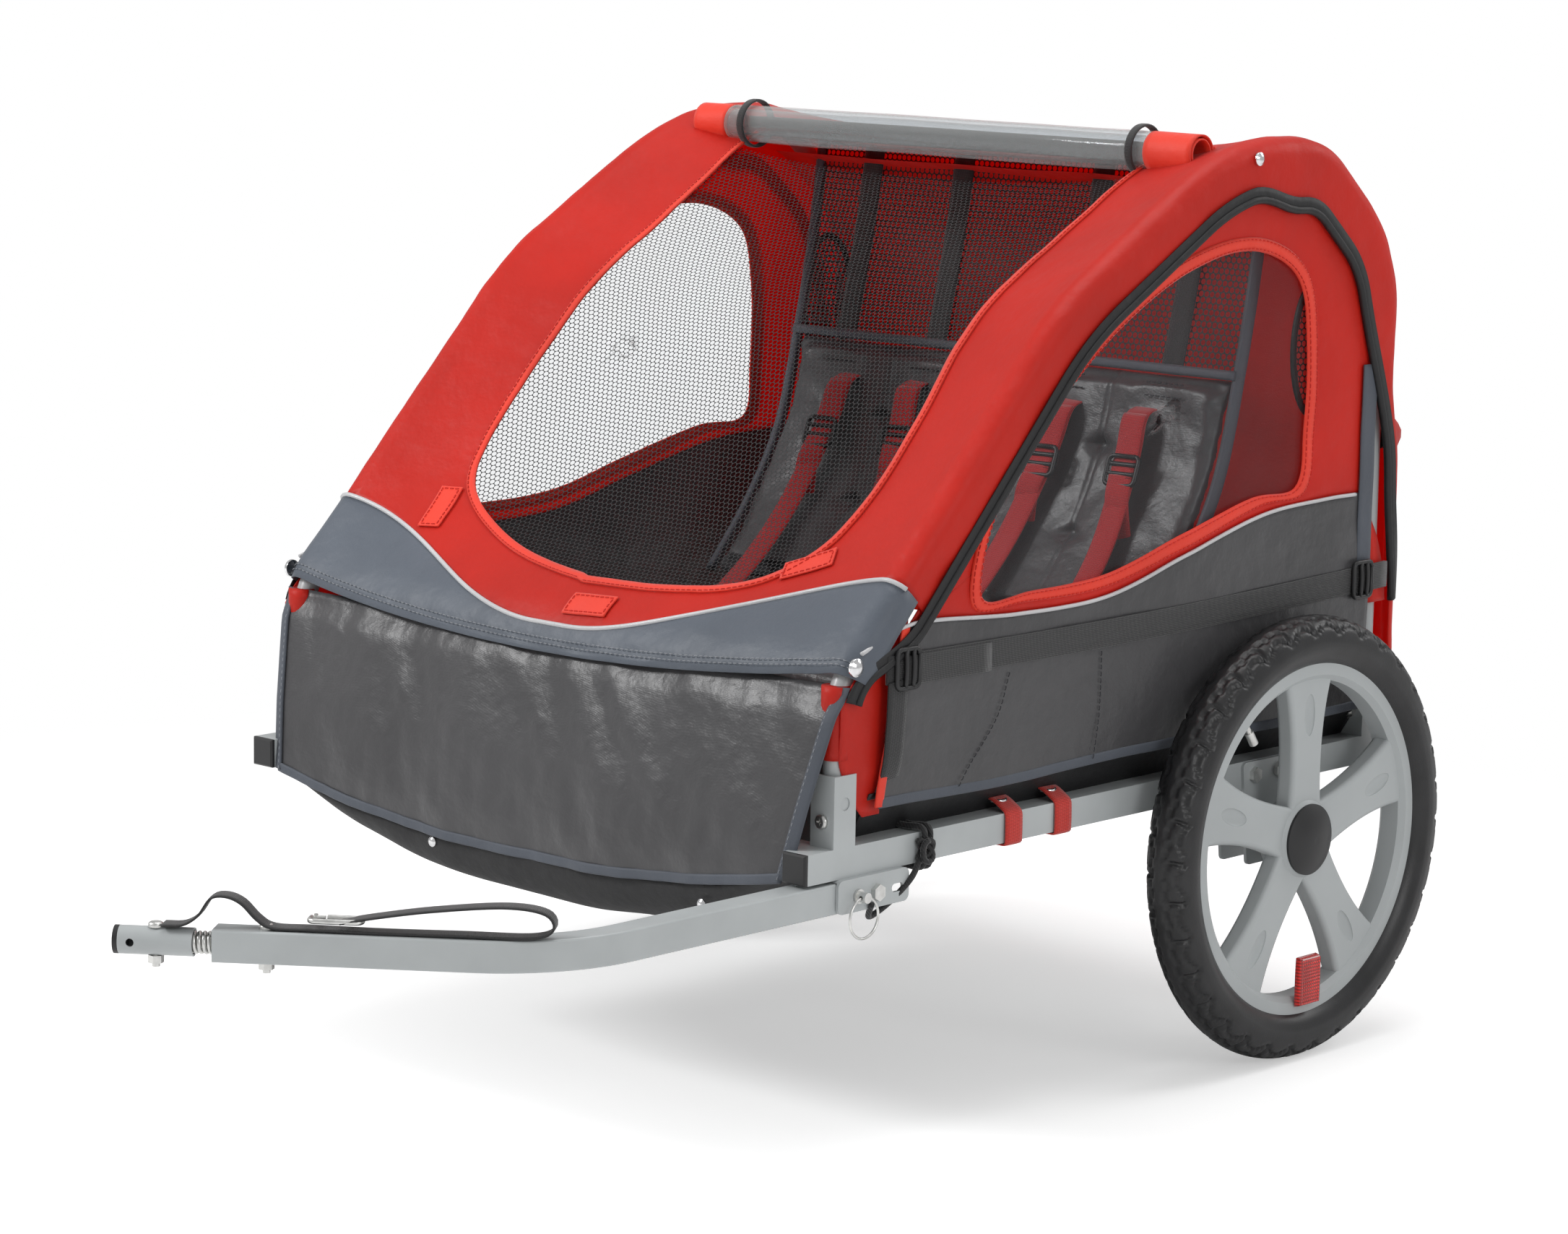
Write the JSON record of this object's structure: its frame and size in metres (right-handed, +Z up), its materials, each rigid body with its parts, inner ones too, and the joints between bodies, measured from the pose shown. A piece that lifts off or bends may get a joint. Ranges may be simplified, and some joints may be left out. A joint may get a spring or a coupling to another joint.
{
  "type": "child bicycle trailer",
  "caption": "Fabric-covered child bicycle trailer on a square-tube frame with folding hoops, moulded wheels and a bent folding tow arm with a spring coupling.",
  "frame": {"origin": "on the ground, midway between the two wheels and under the middle of the overall length, from the coupler's tip to the rear of the canopy; the wheel axles are 0.4293 m behind it", "axes": "+Z up, -Y forward towards the bicycle, +X to the trailer's left side, where the tow arm is"},
  "size_m": [0.801, 1.3116, 0.828],
  "materials": {
    "frame_paint": "satin grey powder coat",
    "black_plastic": "fine-textured black",
    "zinc_hardware": "bright zinc plate",
    "chrome_eyelets": "polished",
    "black_webbing": "ribbed woven webbing",
    "red_webbing": "ribbed woven webbing",
    "red_fabric": "coated nylon, slight sheen",
    "black_mesh": "hexagonal net",
    "clear_vinyl": "clear flexible sheet",
    "charcoal_fabric": "coated nylon, slight sheen",
    "black_fabric": "coated woven polyester",
    "grey_plastic": "moulded, fine texture",
    "tyre_rubber": "moulded tread",
    "red_lens": "prismatic lens"
  },
  "bodies": {
    "frame": {"left_rail": "frame_paint", "right_rail": "frame_paint", "front_cross_tube": "frame_paint", "rear_cross_tube": "frame_paint", "rail_end_plugs": "black_plastic", "hoop_sockets": "frame_paint", "socket_bolts": "zinc_hardware", "arm_bracket": "frame_paint", "arm_pivot_bolt": "zinc_hardware", "axle_carriers": "frame_paint", "carrier_bolts": "zinc_hardware", "wheel_axles": "zinc_hardware", "axle_nuts": "zinc_hardware", "pin_tether": "black_webbing", "canopy": "red_fabric", "front_screen": "black_mesh", "side_windows": "clear_vinyl", "left_side_panel": "charcoal_fabric", "right_side_panel": "charcoal_fabric", "front_panel": "charcoal_fabric", "floor_pan": "black_fabric", "seat_base": "charcoal_fabric", "seat_back": "charcoal_fabric", "harness_straps": "red_webbing", "strap_buckles": "black_plastic", "side_belts": "black_webbing", "rail_straps": "red_webbing", "strap_grommets": "chrome_eyelets", "rain_cover_roll": "clear_vinyl", "cover_loops": "black_webbing", "dome_snaps": "chrome_eyelets"},
    "left_wheel": {"left_rim": "grey_plastic", "left_tyre": "tyre_rubber", "left_inner_tube": "tyre_rubber", "left_hub_bearings": "zinc_hardware", "left_hub_cap": "black_plastic", "left_reflector": "red_lens", "left_valve": "black_plastic"},
    "right_wheel": {"right_rim": "grey_plastic", "right_tyre": "tyre_rubber", "right_inner_tube": "tyre_rubber", "right_hub_bearings": "zinc_hardware", "right_hub_cap": "black_plastic", "right_reflector": "red_lens", "right_valve": "black_plastic"},
    "left_hoop_frame": {"left_hoop": "frame_paint"},
    "right_hoop_frame": {"right_hoop": "frame_paint"},
    "crossbar": {"rear_crossbar": "frame_paint", "crossbar_caps": "black_plastic"},
    "tow_arm": {"tow_arm_tube": "frame_paint", "arm_end_bolt": "zinc_hardware", "safety_strap": "black_webbing", "snap_hook": "zinc_hardware"},
    "snap_gate_body": {"snap_gate": "zinc_hardware"},
    "spring_link": {"coupling_spring": "zinc_hardware"},
    "coupler": {"coupler_tube": "frame_paint", "coupler_plug": "black_plastic", "coupler_bolt": "zinc_hardware"},
    "arm_lock_pin": {"lock_pin": "zinc_hardware"},
    "arm_pin_ring": {"pin_ring": "zinc_hardware"}
  },
  "joints": [
    {"name": "left_wheel_spin", "type": "hinge", "parent": "frame", "child": "left_wheel", "pos_m": [0.377, 0.4293, 0.2], "axis": [1, 0, 0], "continuous": true},
    {"name": "right_wheel_spin", "type": "hinge", "parent": "frame", "child": "right_wheel", "pos_m": [-0.377, 0.4293, 0.2], "axis": [1, 0, 0], "continuous": true},
    {"name": "tow_arm_fold", "type": "hinge", "parent": "frame", "child": "tow_arm", "pos_m": [0.3273, -0.0967, 0.2259], "axis": [1, 0, 0], "range_deg": [0, 180]},
    {"name": "left_hoop_fold", "type": "hinge", "parent": "frame", "child": "left_hoop_frame", "pos_m": [0.3253, 0.4293, 0.288], "axis": [0, -1, 0], "range_deg": [0, 90], "deforming": ["canopy", "front_screen", "side_windows", "left_side_panel", "right_side_panel", "front_panel", "seat_back", "harness_straps", "strap_buckles", "side_belts", "rain_cover_roll", "cover_loops", "dome_snaps"]},
    {"name": "right_hoop_fold", "type": "hinge", "parent": "frame", "child": "right_hoop_frame", "pos_m": [-0.3253, 0.4293, 0.288], "axis": [0, 1, 0], "range_deg": [0, 72]},
    {"name": "crossbar_stow", "type": "slide", "parent": "frame", "child": "crossbar", "axis": [0, 0.0847, -0.9964], "range_m": [0, 0.26]},
    {"name": "coupler_yaw", "type": "hinge", "parent": "tow_arm", "child": "spring_link", "pos_m": [0.10864, -0.60455, 0.2259], "axis": [0, 0, 1], "range_deg": [-30, 30], "deforming": ["coupling_spring", "safety_strap"]},
    {"name": "coupler_pitch", "type": "hinge", "parent": "spring_link", "child": "coupler", "pos_m": [0.10864, -0.60455, 0.2259], "axis": [0.6066, -0.795, 0], "range_deg": [-15, 15]},
    {"name": "snap_gate_open", "type": "hinge", "parent": "tow_arm", "child": "snap_gate_body", "pos_m": [0.17197, -0.54742, 0.2476], "axis": [0, 0, 1], "range_deg": [0, 25]},
    {"name": "lock_pin_pull", "type": "slide", "parent": "frame", "child": "arm_lock_pin", "axis": [1, 0, 0], "range_m": [0, 0.03], "deforming": ["pin_tether"]},
    {"name": "pin_ring_swing", "type": "hinge", "parent": "arm_lock_pin", "child": "arm_pin_ring", "pos_m": [0.3502, -0.1187, 0.2259], "axis": [0, 1, 0], "range_deg": [-80, 5]}
  ],
  "couplings": [
    {"joint": "right_hoop_fold", "follows": "left_hoop_fold", "ratio": 0.8},
    {"joint": "crossbar_stow", "follows": "left_hoop_fold", "m_per_rad": 0.16546}
  ]
}
